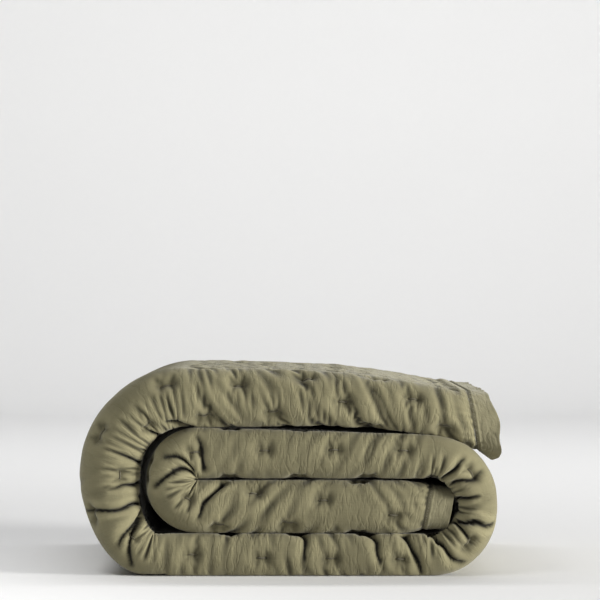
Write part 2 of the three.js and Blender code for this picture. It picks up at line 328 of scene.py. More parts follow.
def row_places(points, start):
    """Where rows lie on the flat cloth, from the average distance between them."""
    steps = np.linalg.norm(np.diff(points, axis=0), axis=-1).mean(1)
    return start + np.concatenate([[0.0], np.cumsum(steps)])


visible = joined(front_rows(fine_rows[::2], half), outer_ply(half, OUTER_ROWS))
bare = route.place(columns, visible, ply_half(columns))
past_front = row_places(bare[front_count - 1:], FRONT_REACH)[1:]
visible_rows = np.concatenate([fine_rows[::2], past_front])
back_fold = visible_rows[-BACK_TURN_ROWS]


# ---- quilting tacks

DRIFT = (
    (0, 22), (220, -30), (440, 4), (700, 11), (1000, 6), (1300, 3), (1560, -18), (1820, -32), (2200, 38),
)


def drift(s):
    """How far the tack rows have drifted from the front of the fold, along the roll."""
    s = s - INNER_SEAM
    fine = np.arange(0.0, 2201.0, 10.0)
    return np.interp(s, fine, smooth(np.interp(fine, *zip(*DRIFT)), 8))


def tack_lattice(width):
    """Where the staggered tacks of the face fabric are: along the strip, and round it."""
    found = []
    for column in range(int(route.length / TACK_PITCH * 2)):
        s = INNER_SEAM + TACK_FIRST + column * TACK_PITCH / 2
        if s > OUTER_SEAM - TAPER / 2:
            break
        for row in range(-2, int(width / TACK_PITCH * 2)):
            if (row + column) % 2 == 0:
                found.append((s, drift(s) + row * TACK_PITCH / 2))
    return found


tacks = tack_lattice(visible_rows[-1])


# ---- creases and wrinkles of the face

# Deep creases, each from its fine tip to its deep end: (s, a) of both, depth, width. Most of these
# places were found with another script, which turned points of the photo into places on the cloth.
CREASES = [
    (1637, -8, 1630, -60, 6, 5), (1582, -11, 1587, -58, 5, 4), (1557, 53, 1547, -50, 6, 4),
    (1499, 15, 1530, -48, 9, 5), (1476, 25, 1524, -42, 7, 4), (1739, -30, 1788, -56, 6, 5),
    (1700, -25, 1706, -60, 5, 4), (449, 21, 474, -24, 5, 4), (418, 23, 467, -32, 7, 4),
    (487, 24, 499, -20, 5, 4), (364, 14, 329, -38, 6, 5), (382, -13, 392, -50, 5, 4),
    (876, 13, 862, -30, 8, 4), (900, 22, 886, -24, 4, 5), (923, -4, 925, -40, 9, 4),
    (955, 30, 972, -30, 11, 4), (989, 12, 977, -34, 8, 4), (1010, 25, 1046, -42, 11, 4),
    (1063, 27, 1086, -34, 9, 5), (1120, 10, 1138, -40, 4, 5), (1230, 5, 1240, -45, 4, 5),
]

# Fields of soft wrinkles: where along the strip, the way they run (degrees from along the strip
# towards its outer side), how far apart they are, and how high.
RIPPLES = [
    (90, 60, 118, 21, 0.6), (280, 100, 58, 30, 1.0), (420, 60, 95, 24, 0.5),
    (560, 90, 84, 26, 0.5), (740, 90, 74, 28, 0.7), (960, 110, 95, 30, 0.4),
    (1180, 110, 100, 22, 0.8), (1380, 90, 82, 26, 0.7), (1620, 140, 92, 30, 0.5),
    (1820, 80, -58, 38, 1.8), (1980, 90, -52, 40, 1.8), (2140, 70, -66, 30, 1.2),
]


def waves(s, u, way, spacing, seed, spread=13, count=18):
    """A field of wrinkles that run one way, of random places and lengths."""
    rng = np.random.default_rng(seed)
    total = 0
    for _ in range(count):
        turn = math.radians(way + rng.normal() * spread)
        k = 2 * PI / (spacing * rng.uniform(0.75, 1.45))
        total = total + np.cos(k * (s * math.sin(turn) - u * math.cos(turn)) + rng.uniform(0, 2 * PI))
    return total * math.sqrt(2 / count)


def bend_of(field):
    """Rounds the crests of a field of waves and sharpens its valleys."""
    return 0.6 * np.tanh(field) - 0.4 * (np.exp(np.clip(-field, -2, 2) * 0.8) - 1.2)


def calm(u):
    """The cloth has fewer wrinkles past the front fold, on the flat top."""
    return 1 - 0.75 * ramp((u - 45) / 40)


def ripples(s, u):
    total, weight = 0, 1e-6
    for i, (middle, reach, way, spacing, height) in enumerate(RIPPLES):
        share = np.exp(-((s - middle) / reach) ** 2)
        total = total + share * height * bend_of(waves(s, u, way, spacing, 40 + i))
        weight = weight + share
    patches = 0.7 + 0.35 * waves(s, u, 90, 110, 7, spread=70)
    turning = ramp(np.interp(s, route.s, route.curve) * 90)
    patches = patches * (1 - 0.85 * turning * ramp((u + 20) / 50)) * calm(u)
    near = np.minimum(s - INNER_SEAM, OUTER_SEAM - s)
    pucker = np.exp(-near / 14) * waves(s, u, 0, 13, 9, spread=14)
    return total / np.maximum(weight, 0.5) * np.clip(patches, 0.0, 1.5) * 1.35 + 0.8 * pucker


def from_segment(s, u, start, end):
    """The distance of each point from a segment, and how far along it the nearest point is."""
    ds, du = end[0] - start[0], end[1] - start[1]
    t = np.clip(((s - start[0]) * ds + (u - start[1]) * du) / (ds * ds + du * du), 0, 1)
    return np.hypot(s - start[0] - t * ds, u - start[1] - t * du), t


def window(values, low, high):
    return slice(*np.searchsorted(values, (low, high)))


def around(s, u, start, end, room):
    """The rows and columns of a grid that lie near a segment."""
    rows = window(u, min(start[1], end[1]) - room, max(start[1], end[1]) + room)
    return rows, window(s, min(start[0], end[0]) - room, max(start[0], end[0]) + room)


PUCKER_ROOM = 55.0  # how far from a tack its puckers are worked out
TACK_ROOM = 20.0  # how far from it the points that it holds are looked for


def dimples(s, u, depth=5.2, reach=7.0):
    """How far the tacks pull the face in, with short puckers across both ends of each."""
    total = np.zeros((u.size, s.size))
    for number, (ts, tu) in enumerate(tacks):
        rows, cols = around(s, u, (ts, tu), (ts, tu), PUCKER_ROOM)
        if rows.start == rows.stop or cols.start == cols.stop:
            continue
        x, y = s[cols][None, :] - ts, u[rows][:, None] - tu
        apart, _ = from_segment(x, y, *TACK_ENDS)
        dent = depth * np.exp(-apart / reach)
        rng = np.random.default_rng(500 + number)
        for end in (-1, 1):
            tip = end * TACK_LENGTH / 2
            for side in (-1, 1):
                far = (tip + end * rng.uniform(0, 5), side * rng.uniform(11, 17))
                d, t = from_segment(x, y, (tip, 0), far)
                dent = dent + 1.9 * (1 - t) * np.exp(-d / 1.8)
        total[rows, cols] += dent
    return total


CREASE_ROOM = 45.0  # how far from a crease its shape is worked out


def grooves(s, u):
    """How far the creases cut in, which points are at the bottom of one, how far each of those is
    from its line, and the painted shadow along the creases."""
    total = np.zeros((u.size, s.size))
    bottoms = np.zeros(total.shape, bool)
    slide = np.zeros(total.shape + (2,))
    shadow = np.zeros(total.shape)
    reach = 0.55 * (s[1] - s[0])
    for s0, a0, s1, a1, depth, width in CREASES:
        rows, cols = around(s, u, (s0, a0), (s1, a1), CREASE_ROOM)
        x, y = s[cols][None, :], u[rows][:, None]
        x = x + 2.0 * waves(x, y, 30, 45, s0, spread=50, count=6)
        y = np.broadcast_to(y, x.shape)
        d, t = from_segment(x, y, (s0, a0), (s1, a1))
        share = ramp(0.2 + 1.3 * t)
        total[rows, cols] += depth * share * (1.05 * np.exp(-d / 2.0) + 0.35 * np.exp(-d / (1.9 * width)))
        total[rows, cols] -= 0.16 * depth * share * np.exp(-((d - 2.6 * width) / (1.6 * width)) ** 2)
        low = (d < reach) & (t > 0.04)
        bottoms[rows, cols] |= low
        to_line = np.stack([s0 + t * (s1 - s0) - x, a0 + t * (a1 - a0) - y], -1)
        slide[rows, cols][low] = to_line[low]
        # Painted shadow along each crease, stronger towards its deep end and for deep creases, up to 1.
        dark = 2.3 * share * np.exp(-d / 1.7) * min(depth / 6, 1)
        shadow[rows, cols] = np.maximum(shadow[rows, cols], np.minimum(dark, 1))
    return total, bottoms, slide, shadow


# ---- cloth solver

LINKS = ((0, 1), (1, 0), (1, 1), (1, -1))
FLOOR_LEVEL = 0.4  # the cloth stays this far above the floor
STEPS = 280
COARSE_SOLVE = {"tack_reach": 4.5, "bend": 0.12, "hold": 0.012, "push": 0.036}
FINE_SOLVE = {"tack_reach": 2.3, "bend": 0.12, "hold": 0.010, "push": 0.027}


def pair(di, dj, parity):
    """Two views of a grid whose points are linked, no point twice."""
    if di == 0:
        return np.s_[:, parity:-1:2], np.s_[:, parity + 1::2]
    first, second = slice(parity, -1, 2), slice(parity + 1, None, 2)
    if dj == 0:
        return np.s_[first, :], np.s_[second, :]
    if dj > 0:
        return np.s_[first, :-1], np.s_[second, 1:]
    return np.s_[first, 1:], np.s_[second, :-1]


def neighbours(v):
    """The average of a grid's four neighbours at each point."""
    total = np.empty_like(v)
    total[1:-1] = v[:-2] + v[2:]
    total[0], total[-1] = 2 * v[1], 2 * v[-2]
    total[:, 1:-1] += v[:, :-2] + v[:, 2:]
    total[:, 0] += 2 * v[:, 1]
    total[:, -1] += 2 * v[:, -2]
    return total * 0.25


class Patch:
    """A grid of cloth points over the shape that the filling gives it."""

    def __init__(self, shape, cut, flat, slack):
        """shape is where the cloth would lie with no slack or creases, cut the same with creases,
        flat its flat places (s, u) and slack how much too long it is along, askew and across."""
        self.shape = shape.astype(np.float32)
        self.links = []
        for di, dj in LINKS:
            for parity in (0, 1):
                a, b = pair(di, dj, parity)
                way = flat[b] - flat[a]
                way = way / np.linalg.norm(way, axis=-1, keepdims=True)
                spare = (slack[a] + slack[b]) / 2
                extra = (spare[..., 0] * way[..., 0] ** 2 + spare[..., 2] * way[..., 1] ** 2
                         + 2 * spare[..., 1] * way[..., 0] * way[..., 1])
                rest = np.linalg.norm(cut[b] - cut[a], axis=-1) * (1 + extra)
                self.links.append((a, b, rest.astype(np.float32), 0.5 if di * dj == 0 else 0.25))

    def settle(self, start, goal, facing, held, caps, bend, hold, push):
        """Moves the points, step by step, to where threads, bending and filling are in balance."""
        p = start.astype(np.float32)
        goal = goal.astype(np.float32)
        facing = facing.astype(np.float32)
        low, high = (cap.astype(np.float32) for cap in caps)
        lift = (push * facing).astype(np.float32)
        for step in range(STEPS):
            for a, b, rest, stiff in self.links:
                d = p[b] - p[a]
                size = np.sqrt(np.einsum("ijk,ijk->ij", d, d)) + 1e-6
                d *= (stiff * (size - rest) / size)[..., None]
                p[a] += d
                p[b] -= d
            off = p - goal
            stir = neighbours(off) - off
            p -= bend * (neighbours(stir) - stir) + hold * off
            p += lift
            if step % 4 == 3 or step == STEPS - 1:
                off = p - self.shape
                out = np.einsum("ijk,ijk->ij", off, facing)
                p += (np.clip(out, low, high) - out)[..., None] * facing
                p[..., 2] = np.maximum(p[..., 2], FLOOR_LEVEL)
            p[held] = goal[held]
        return p.astype(float)


SPARE = 0.02  # the slack that the cloth has everywhere
TURN_SLACK = 0.42  # how much of what a turn leaves over stays in the cloth
MOST_TURN_SLACK = 0.09


def slack_of(s, u):
    """The share by which the face fabric is too long: the inner sides of the turns have most."""
    half = route.half_at(s)
    bulge = np.interp(s, route.s, route.curve) * half
    height = np.sin(np.clip(u[:, None] / (FOLD_ARC * half), -PI / 2, PI / 2))
    ends = ramp(np.minimum(s - INNER_SEAM, OUTER_SEAM - s) / 20)
    needed = TURN_SLACK * ((1 + 0.35 * bulge) / np.maximum(1 + bulge * height, 0.2) - 1)
    needed = needed * (1 - 0.4 * ramp((s - route.wide - 60) / 80))
    along = SPARE + np.clip(needed, 0.0, MOST_TURN_SLACK)
    across = SPARE + 0 * along
    skew = np.zeros_like(along)
    for middle, reach, way, _, height in RIPPLES:
        share = np.exp(-((s - middle) / reach) ** 2) * 0.022 * height * calm(u[:, None])
        turn = math.radians(way)
        along = along + share * math.sin(turn) ** 2
        across = across + share * math.cos(turn) ** 2
        skew = skew - share * math.sin(turn) * math.cos(turn)
    return np.stack([along * ends, skew * ends, across * ends], -1)


ROOM = 11.0  # how far out the face may go where nothing lies against it
SHUT = 0.35  # the same between two layers
SHUT_ON_FLOOR = 0.1
DEEPEST = 1.42  # how far in it may go, as a share of the ply's half thickness


def fold_angle(s, u):
    """How far round the front fold each point is: 1 is where the fold ends."""
    return u[:, None] / (FOLD_ARC * route.half_at(s) * PI / 2)


def uncovered(s):
    """How free of a next layer, from 0 to 1, the strip's outer side is."""
    return ramp((s - route.end_turn - 25) / 40)


def caps_of(s, u):
    """How far in and out the face may go: not into the neighbouring layer, nor through the floor."""
    angle = fold_angle(s, u)
    inner = ramp((-angle - 0.72) / 0.25)
    at_back = ramp((u[:, None] - back_fold + 25) / 15)
    on_floor = ramp((s - route.floor + 30) / 40) * ramp((route.wide + 30 - s) / 40)
    outer = ramp((angle - 0.72) / 0.25) * (1 - uncovered(s)) * (1 - at_back)
    high = ROOM + (SHUT - ROOM) * np.maximum(inner, outer)
    high = high + (SHUT_ON_FLOOR - high) * on_floor * ramp((angle - 0.8) / 0.2) * (1 - at_back)
    return -DEEPEST * ply_half(s) + 0 * high, high


# ---- the face fabric

BLEND_WIDTH = 24.0
SWELL = 2.0
CORNER_SWELL = 12.0
SWELL_OVER = 60.0
CORNERS = ((1715.0, 75.0), (455.0, 55.0))  # where on the strip each is, and how far it reaches


def doubled(v):
    """A grid with a new row and column between all its neighbours."""
    rows = np.empty((2 * v.shape[0] - 1,) + v.shape[1:])
    rows[::2], rows[1::2] = v, (v[:-1] + v[1:]) / 2
    both = np.empty((rows.shape[0], 2 * v.shape[1] - 1) + v.shape[2:])
    both[:, ::2], both[:, 1::2] = rows, (rows[:, :-1] + rows[:, 1:]) / 2
    return both


def swell(s, depth):
    """Behind the front fold the layers swell into the hollows between them."""
    corner = sum(np.exp(-((s - middle) / reach) ** 2) for middle, reach in CORNERS)
    return (SWELL + CORNER_SWELL * corner) * ramp(depth / SWELL_OVER)


# Painted shading in hollows of three sizes: how wide, how deep a full one is, and its share of the painted
# shade.
PAINTED_SHADING_SIZES = ((3.0, 0.36, 0.5), (6.5, 1.2, 0.4), (15.0, 2.8, 0.28))
# How dark the painted shadow at a crease's bottom and the painted shade deep between two layers are.
CREASE_PAINTED_SHADOW = 1.45
CREVICE_PAINTED_SHADE = 1.2


def hollows(out, dents, shadow, spacing):
    """How far, from 0 to 1, each point lies in a dip of the settled cloth, out from its shape, as painted
    shade.
    Crests get painted light below 0, and crease bottoms blend into the painted crease shadow.
    """
    out = out + 0.88 * dents
    level, dark, last = out, 0, 0.0
    for reach, height, share in PAINTED_SHADING_SIZES:
        for _ in range(int(round((reach ** 2 - last ** 2) / spacing ** 2)) + 1):
            level = neighbours(level)
        last = reach
        dark = dark + share * np.clip((level - out) / height, -0.5, 1)
    # Tack dents get up to half less painted shading.
    dark = dark * (1 - 0.5 * np.clip(dents / 5, 0, 1))
    return dark + (CREASE_PAINTED_SHADOW - dark) * shadow


def tacked(s, u, reach):
    """Which points the tacks hold down."""
    held = np.zeros((u.size, s.size), bool)
    for ts, tu in tacks:
        rows, cols = around(s, u, (ts, tu), (ts, tu), TACK_ROOM)
        if rows.start < rows.stop and cols.start < cols.stop:
            apart, _ = from_segment(s[cols][None, :] - ts, u[rows][:, None] - tu, *TACK_ENDS)
            held[rows, cols] |= apart < reach
    return held


def settled(s, u, section, solve, start=None):
    """Settles a patch of the face over the filling, and pulls it down at the tacks. A patch that
    starts from another one keeps that one's first and last row. It gives the points and their painted
    shading."""
    shape = route.place(s, section, ply_half(s))
    facing = route.facing(s, section)
    inside = ramp((route.end_turn - s) / 60)
    shape = shape + (swell(s, np.maximum(u[:, None] - 60, 0)) * inside)[..., None] * facing
    near = loft(s) * ramp(loft(s) / 0.6)
    cut, bottoms, slide, shadow = grooves(s, u)
    dents = dimples(s, u) * near
    relief = np.maximum(ripples(s[None, :], u[:, None]) - cut * near - dents, -DEEPEST * ply_half(s))
    moved = slide[..., :1] * np.gradient(shape, s, axis=1) + slide[..., 1:] * np.gradient(shape, u, axis=0)
    goal = shape + relief[..., None] * facing + moved
    folded = shape - (cut * near + 0.5 * dents)[..., None] * facing + moved
    held = bottoms | tacked(s, u, solve["tack_reach"])
    held[:, [0, -1]] = True
    held[[0, -1]] = True
    goal[:, [0, -1]] = shape[:, [0, -1]]
    if start is None:
        start = goal
    else:
        goal[[0, -1]] = start[[0, -1]]
    patch = Patch(shape, folded, flat_places(s, u), slack_of(s, u))
    caps = caps_of(s, u)
    points = patch.settle(start, goal, facing, held, caps, solve["bend"], solve["hold"], solve["push"])
    out = ((points - shape) * facing).sum(-1)
    # Painted shade and light from the settled cloth's hollows, crests and creases, then painted shade deep
    # in crevices.
    dark = hollows(out, dents, shadow, s[1] - s[0])
    return points, dark + (CREVICE_PAINTED_SHADE - dark) * crevice(s, u)


def crevice(s, u):
    """How deep, from 0 to 1, each point lies between two layers of the roll, which sets its painted shade
    there.
    """
    angle = fold_angle(s, u)
    on_floor = ramp((s - route.floor) / 30) * ramp((route.wide - s) / 30)
    outer = ramp((angle - 0.85) / 0.3) * np.maximum(1 - uncovered(s), on_floor)
    outer = outer * (1 - ramp((u[:, None] - 120) / 160))
    return np.maximum(ramp((-angle - 0.85) / 0.3), outer)


coarse, coarse_painted_shading = settled(columns, visible_rows, visible, COARSE_SOLVE)
fine_start = doubled(coarse[:front_count])
front = front_rows(fine_rows, route.half_at(fine_columns))
fine, fine_painted_shading = settled(fine_columns, fine_rows, front, FINE_SOLVE, fine_start)

# The fine patch, with its painted shading, blends into the coarse one towards its rim.
own = ramp((FRONT_REACH - np.abs(fine_rows)) / BLEND_WIDTH)[:, None]
fine = fine_start + (fine - fine_start) * own[..., None]
fine_painted_shading = fine_painted_shading * own + doubled(coarse_painted_shading[:front_count]) * (1 - own)


# ---- meshes

def grid_faces(rows, cols, first=0):
    """Squares between neighbouring points of a grid, facing the cloth's face side."""
    corner = first + np.arange(rows - 1)[:, None] * cols + np.arange(cols - 1)[None, :]
    corner = corner.ravel()
    return np.stack([corner, corner + 1, corner + cols + 1, corner + cols], 1)


def seam_faces(coarse_row, fine_row, coarse_below):
    """Triangles that join a row of points to one with twice as many."""
    a, b = coarse_row[:-1], coarse_row[1:]
    f, g, h = fine_row[:-1:2], fine_row[1::2], fine_row[2::2]
    if coarse_below:
        parts = [(a, b, g), (a, g, f), (b, h, g)]
    else:
        parts = [(g, b, a), (f, g, a), (g, h, b)]
    return np.concatenate([np.stack(part, 1) for part in parts])


def linked(name, data):
    """A new object in the scene, for a mesh, a light or a camera."""
    thing = bpy.data.objects.new(name, data)
    bpy.context.scene.collection.objects.link(thing)
    return thing


def mesh_object(name, points, faces, flat=None, painted_shading=None, corners_flat=None):
    """A mesh from points in millimetres and faces of three or four corners; flat is its UV map."""
    mesh = bpy.data.meshes.new(name)
    mesh.from_pydata((points.reshape(-1, 3) * MM).tolist(), [], [q for f in faces for q in f.tolist()])
    if flat is not None:
        spots = flat.reshape(-1, 2)
        low, high = spots.min(0), spots.max(0)
        corners = np.empty(len(mesh.loops), np.int32)
        mesh.loops.foreach_get("vertex_index", corners)
        layer = mesh.uv_layers.new(name="OFBake")
        layer.uv.foreach_set("vector", ((spots - low) / (high - low))[corners].astype(np.float32).ravel())
    if corners_flat is not None:
        layer = mesh.uv_layers.new(name="OFBake")
        layer.uv.foreach_set("vector", corners_flat.astype(np.float32).ravel())
    # A point attribute of painted shading, which darkens or lightens the linen's colour.
    if painted_shading is not None:
        layer = mesh.attributes.new("painted_shading", "FLOAT", "POINT")
        layer.data.foreach_set("value", painted_shading.astype(np.float32).ravel())
    mesh.shade_smooth()
    return linked(name, mesh)


def face_fabric():
    """The whole face cover: fine rows on the front fold, coarser ones elsewhere."""
    under, side = lower_ply(half, LOWER_EDGE - HEM_WIDTH, UNDER_ROWS)
    tucked, tucked_side = tucked_plies(half, UPPER_EDGE - HEM_WIDTH, TUCKED_ROWS)
    depth = (1 - shares(UNDER_ROWS, last=False)) * UNDER_DEPTH
    under = route.place(columns, under, ply_half(columns, side) + swell(columns, depth) * side)
    tucked = route.place(columns, tucked, ply_half(columns, tucked_side))
    outer = coarse[front_count:]
    n = columns.size
    parts = (under, fine, outer, tucked)
    points = np.concatenate([part.reshape(-1, 3) for part in parts])
    first_fine = under.shape[0] * n
    first_outer = first_fine + fine.shape[0] * fine.shape[1]
    faces = [
        grid_faces(under.shape[0], n),
        grid_faces(fine.shape[0], fine.shape[1], first_fine),
        grid_faces(outer.shape[0] + tucked.shape[0], n, first_outer),
        seam_faces(first_fine - n + np.arange(n), first_fine + np.arange(2 * n - 1), True),
        seam_faces(first_outer + np.arange(n), first_outer - 2 * n + 1 + np.arange(2 * n - 1), False),
    ]
    under_u = -row_places(np.concatenate([fine[:1, ::2], under[::-1]]), FRONT_REACH)[:0:-1]
    tucked_u = row_places(np.concatenate([outer[-1:], tucked]), visible_rows[-1])[1:]
    flat = [flat_places(columns, under_u), flat_places(fine_columns, fine_rows),
            flat_places(columns, past_front), flat_places(columns, tucked_u)]
    flat = np.concatenate([f.reshape(-1, 2) for f in flat])
    size = np.ptp(flat, axis=0) * MM
    # Painted shade on the innermost ply, full beside the front fold and gone about 200 mm behind it; none on
    # the tucked plies.
    painted_shading = [CREVICE_PAINTED_SHADE * (1 - ramp(depth / 200)) + 0 * under[..., 0], fine_painted_shading,
              coarse_painted_shading[front_count:], 0 * tucked[..., 0]]
    painted_shading = np.concatenate([h.ravel() for h in painted_shading])
    return mesh_object("face_fabric", points, faces, flat, painted_shading=painted_shading), size


def whole_path(s, spacing, hem_lower, hem_upper):
    """A section over all four plies, from one hem line to the other, and its loft near the hems."""
    h = route.half_at(s)
    count = int(400 / spacing)
    under, side = lower_ply(h, hem_lower, count)
    front_a = np.linspace(-FRONT_REACH, FRONT_REACH, int(2 * FRONT_REACH / min(spacing, 14)) + 1)
    front_part = front_rows(front_a, h)
    outer = outer_ply(h, count)
    tucked, tucked_side = tucked_plies(h, hem_upper, count)
    full = np.ones((front_part[0].shape[0] + outer[0].shape[0], s.size))
    return joined(under, front_part, outer, tucked), np.concatenate([side, full, tucked_side])


def flat_of(s, points):
    return flat_places(s, row_places(points, 0.0))


def back_fabric():
    s = columns[::3]
    section, side = whole_path(s, 15, LOWER_EDGE - HEM_WIDTH, UPPER_EDGE - HEM_WIDTH)
    points = route.place(s, section, -ply_half(s, side))
    flat = flat_of(s, route.place(s, section))
    faces = [grid_faces(*points.shape[:2])[:, ::-1]]
    return mesh_object("back_fabric", points, faces, flat), np.ptp(flat.reshape(-1, 2), axis=0) * MM


SIDE_SHARE = 0.48


def two_sided(flat, faces, rim_count):
    """UVs of each corner of a closed piece: its face on the left, its back on the right, its rim
    between them."""
    spots = flat.reshape(-1, 2)
    spots = (spots - spots.min(0)) / np.ptp(spots, axis=0)
    face = spots[faces[0]] * (SIDE_SHARE, 1)
    back = spots[faces[1] - spots.shape[0]] * (SIDE_SHARE, 1) + (1 - SIDE_SHARE, 0)
    start = np.arange(rim_count) / rim_count
    left, right = 0 * start + SIDE_SHARE + 0.01, 0 * start + 1 - SIDE_SHARE - 0.01
    after = start + 1 / rim_count
    rim = [(left, start), (right, start), (right, after), (left, after)]
    rim = np.stack([np.stack(corner, -1) for corner in rim], 1)
    return np.concatenate([part.reshape(-1, 2) for part in (face, back, rim)])


def closed(lower, upper, name, flat=None, painted_shading=None, sharp=False):
    """A closed piece between two grids of points, lower on the back side and upper on the face."""
    rows, cols = upper.shape[:2]
    count = rows * cols
    index = np.arange(count).reshape(rows, cols)
    rim = np.concatenate([index[0, :-1], index[:-1, -1], index[-1, :0:-1], index[:0:-1, 0]])
    after = np.roll(rim, -1)
    faces = [grid_faces(rows, cols), grid_faces(rows, cols, count)[:, ::-1],
             np.stack([rim, rim + count, after + count, after], 1)]
    points = np.concatenate([upper.reshape(-1, 3), lower.reshape(-1, 3)])
    corners_flat = None if flat is None else two_sided(flat, faces, rim.size)
    # Both sides of the piece get the same painted shading.
    if painted_shading is not None:
        painted_shading = np.concatenate([painted_shading.ravel(), painted_shading.ravel()])
    piece = mesh_object(name, points, faces, painted_shading=painted_shading, corners_flat=corners_flat)
    if sharp:
        piece.data.set_sharp_from_angle(angle=math.radians(50))
    return piece


def batting():
    s = np.linspace(INNER_SEAM + 4, OUTER_SEAM - 4, 150)
    section, side = whole_path(s, 30, LOWER_EDGE - HEM_WIDTH - 4, UPPER_EDGE - HEM_WIDTH - 4)
    thick = ply_half(s, side)
    return closed(route.place(s, section, -0.92 * thick), route.place(s, section, -0.6 * thick), "batting")


# ---- hems

HEM_STEPS = 28
STITCH_IN = 2.5  # how far from the seam the stitches are
RIDGE_IN = 6.0  # how far from it the ridge is


def end_hem_section(s):
    """A section of an end hem, from the lower loose edge round all the folds to the upper one."""
    h = route.half_at(s)
    under = flat_rows(LOWER_EDGE - (LOWER_EDGE + 165) * shares(60, last=False), -3 * PLY, -1.0, h)
    front_part = front_rows(np.linspace(-FRONT_REACH, FRONT_REACH, 81), h)
    outer = outer_ply(h, 60)
    tucked, _ = tucked_plies(h, UPPER_EDGE, 60)
    return joined(under, front_part, outer, tucked)


def hem_wave(s, u, free, seed):
    """How a hem waves: more towards its free edge."""
    slow = waves(s, u, 0, 75, seed, spread=14)
    quick = waves(s, u, 8, 19, seed + 1, spread=25)
    return ramp(free) * 0.8 * slow + 0.25 * quick


def slab(name, s, section, flat, inward, wave, moved=0.0):
    """A hem: two thicknesses of linen, waving out of its section. A ridge runs along its seam. Painted shade
    lies along the seam, the stitches and past the ridge.
    """
    middle = route.place(s, section)
    facing = route.facing(s, section)
    middle = middle + wave[..., None] * facing + moved
    thick = HEM_HALF + 1.1 * np.exp(-((inward - RIDGE_IN) / 1.9) ** 2)
    thick = thick + 0.5 * np.exp(-((inward - HEM_WIDTH + 1.5) / 1.3) ** 2)
    # Painted shade: darkest at the seam line, with lighter bands along the stitches and just past the ridge.
    painted_shading = 0.9 * np.exp(-inward / 1.3) + 0.45 * np.exp(-((inward - STITCH_IN) / 0.9) ** 2)
    painted_shading = painted_shading + 0.3 * np.exp(-((inward - RIDGE_IN - 3.2) / 1.2) ** 2)
    thick = thick[..., None] * facing
    piece = closed(middle - thick, middle + thick, name, flat, painted_shading, sharp=True)
    size = np.ptp(flat.reshape(-1, 2), axis=0) * MM
    return piece, middle, facing, (size[0] / SIDE_SHARE, size[1])


def end_hem(name, seam, edge, seed, bulge):
    s = np.linspace(min(seam, edge), max(seam, edge), HEM_STEPS + 1)
    section = end_hem_section(s)
    u = row_places(route.place(s, section), 0.0)
    front_row = int(np.argmin(section[0].mean(1)))
    a = u - u[front_row]
    inward = np.abs(s - seam)[None, :] + 0 * a[:, None]
    free = inward / HEM_WIDTH
    pucker = 0.45 * waves(0, a[:, None], 0, 9, seed + 5) * np.exp(-((inward - RIDGE_IN) / 4) ** 2)
    wave = hem_wave(s[None, :], u[:, None], free, seed) + pucker
    along = (bulge(a)[:, None] + 1.2 * waves(0, a[:, None], 0, 60, seed + 3)) * ramp(free)
    moved = np.zeros(along.shape + (3,))
    moved[..., 0] = along
    return slab(name, s, section, flat_places(s, u), inward, wave, moved)


def side_hem(name, edge_y, level, facing, seed):
    s = np.linspace(INNER_SEAM, OUTER_SEAM, 301)
    h = route.half_at(s)
    t = shares(HEM_STEPS // 2)
    y = edge_y - HEM_WIDTH * (1 - t)
    section = flat_rows(y, level, facing, h)
    inward = HEM_WIDTH * t + 0 * s[None, :]
    wave = hem_wave(s[None, :], 0 * t, t + 0 * s[None, :], seed) * 0.8
    return slab(name, s, section, flat_places(s, HEM_WIDTH * t[:, 0]), inward, wave)


# ---- threads

TOPSTITCH_RADIUS = 0.45
TACK_RADIUS = 0.7
OTHER_TACK_RADIUS = 0.9


def tube(points, radius, sides=6):
    """Rings of points round a thread along points, thinner at its ends."""
    points = np.asarray(points, float)
    way = np.gradient(points, axis=0)
    way /= np.linalg.norm(way, axis=1)[:, None]
    up = np.cross(way, (0.31, 0.77, 0.55))
    up /= np.linalg.norm(up, axis=1)[:, None]
    side = np.cross(way, up)
    angle = np.arange(sides) * 2 * PI / sides
    taper = np.ones(len(points))
    taper[[0, -1]] = 0.45
    ring = (np.cos(angle)[None, :, None] * up[:, None] + np.sin(angle)[None, :, None] * side[:, None])
    return points[:, None] + ring * (radius * taper)[:, None, None]


def tube_faces(rings, sides, first):
    faces = []
    for i in range(rings - 1):
        for j in range(sides):
            a, b = first + i * sides + j, first + i * sides + (j + 1) % sides
            faces.append((a, b, b + sides, a + sides))
    return faces


def threads(name, runs, radius, sides=6):
    """One piece of many short threads, each along its own points."""
    points, quads, ends, first = [], [], [], 0
    for run in runs:
        ring = tube(run, radius, sides)
        points.append(ring.reshape(-1, 3))
        quads += tube_faces(len(run), sides, first)
        ends.append(tuple(range(first, first + sides))[::-1])
        last = first + (len(run) - 1) * sides
        ends.append(tuple(range(last, last + sides)))
        first = last + sides
    mesh = bpy.data.meshes.new(name)
    mesh.from_pydata((np.concatenate(points) * MM).tolist(), [], quads + ends)
    mesh.shade_smooth()
    return linked(name, mesh)


def stitch_runs(path, facing, pitch=4.0, length=2.9, lift=0.25):
    """Stitches along a path of points on a hem, a little domed."""
    along = np.concatenate([[0.0], np.cumsum(np.linalg.norm(np.diff(path, axis=0), axis=1))])
    starts = np.arange(pitch, along[-1] - pitch, pitch)
    where = starts[:, None] + length * np.array([-0.5, -0.17, 0.17, 0.5])[None, :]
    spots = np.stack([np.interp(where, along, path[:, k]) for k in range(3)], -1)
    ways = np.stack([np.interp(where, along, facing[:, k]) for k in range(3)], -1)
    dome = np.array([-0.35, lift, lift, -0.35])[None, :, None]
    return spots + ways * (HEM_HALF + dome)


